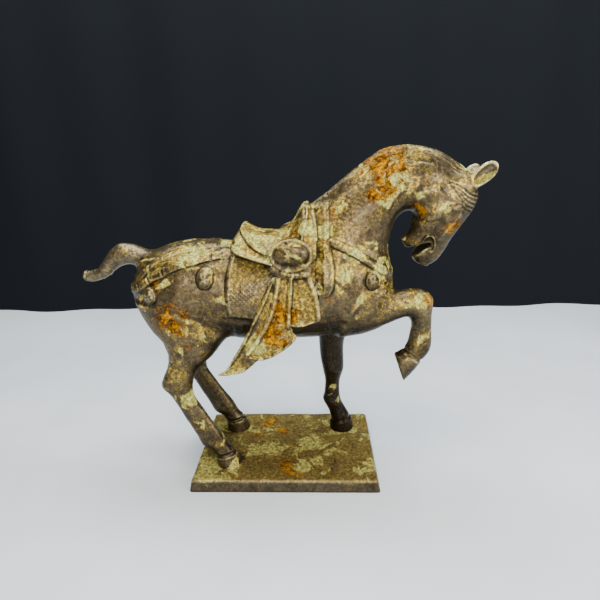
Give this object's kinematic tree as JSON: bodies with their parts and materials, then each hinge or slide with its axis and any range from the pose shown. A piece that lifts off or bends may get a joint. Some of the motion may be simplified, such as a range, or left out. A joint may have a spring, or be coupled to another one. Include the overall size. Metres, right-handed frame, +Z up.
{
  "type": "prancing horse figurine",
  "caption": "Cast bronze horse in old Chinese style, near foreleg raised, with saddle, tied cover and straps, standing on a flat oblong plate.",
  "frame": {"origin": "centre of the base plate's underside", "axes": "+X the way the horse faces, along the plate's long side; +Z up; the near side, with the raised foreleg, faces -Y"},
  "size_m": [0.3367, 0.109, 0.281],
  "materials": {
    "bronze_body": "satin",
    "bronze_tack": "satin",
    "bronze_plate": "satin",
    "screw_steel": "satin"
  },
  "bodies": {
    "root": {"barrel": "bronze_body", "core_plug": "bronze_body", "neck": "bronze_body", "head": "bronze_body", "mane": "bronze_body", "tail": "bronze_body", "foreleg_near_raised": "bronze_body", "foreleg_far": "bronze_body", "hindleg_near": "bronze_body", "hindleg_far": "bronze_body", "ear_near": "bronze_body", "ear_far": "bronze_body", "saddle_cloth": "bronze_tack", "saddle": "bronze_tack", "rump_strap": "bronze_tack", "breast_strap": "bronze_tack", "cover_knot_near": "bronze_tack", "cover_drape_near": "bronze_tack", "stirrup_flap_near": "bronze_tack", "rump_boss_front_near": "bronze_tack", "rump_boss_rear_near": "bronze_tack", "breast_boss_near": "bronze_tack", "cover_knot_far": "bronze_tack", "cover_drape_far": "bronze_tack", "stirrup_flap_far": "bronze_tack", "rump_boss_front_far": "bronze_tack", "rump_boss_rear_far": "bronze_tack", "breast_boss_far": "bronze_tack", "base_plate": "bronze_plate", "hoof_screw_near_hind": "screw_steel", "hoof_screw_far_hind": "screw_steel", "hoof_screw_far_fore": "screw_steel"}
  },
  "joints": []
}
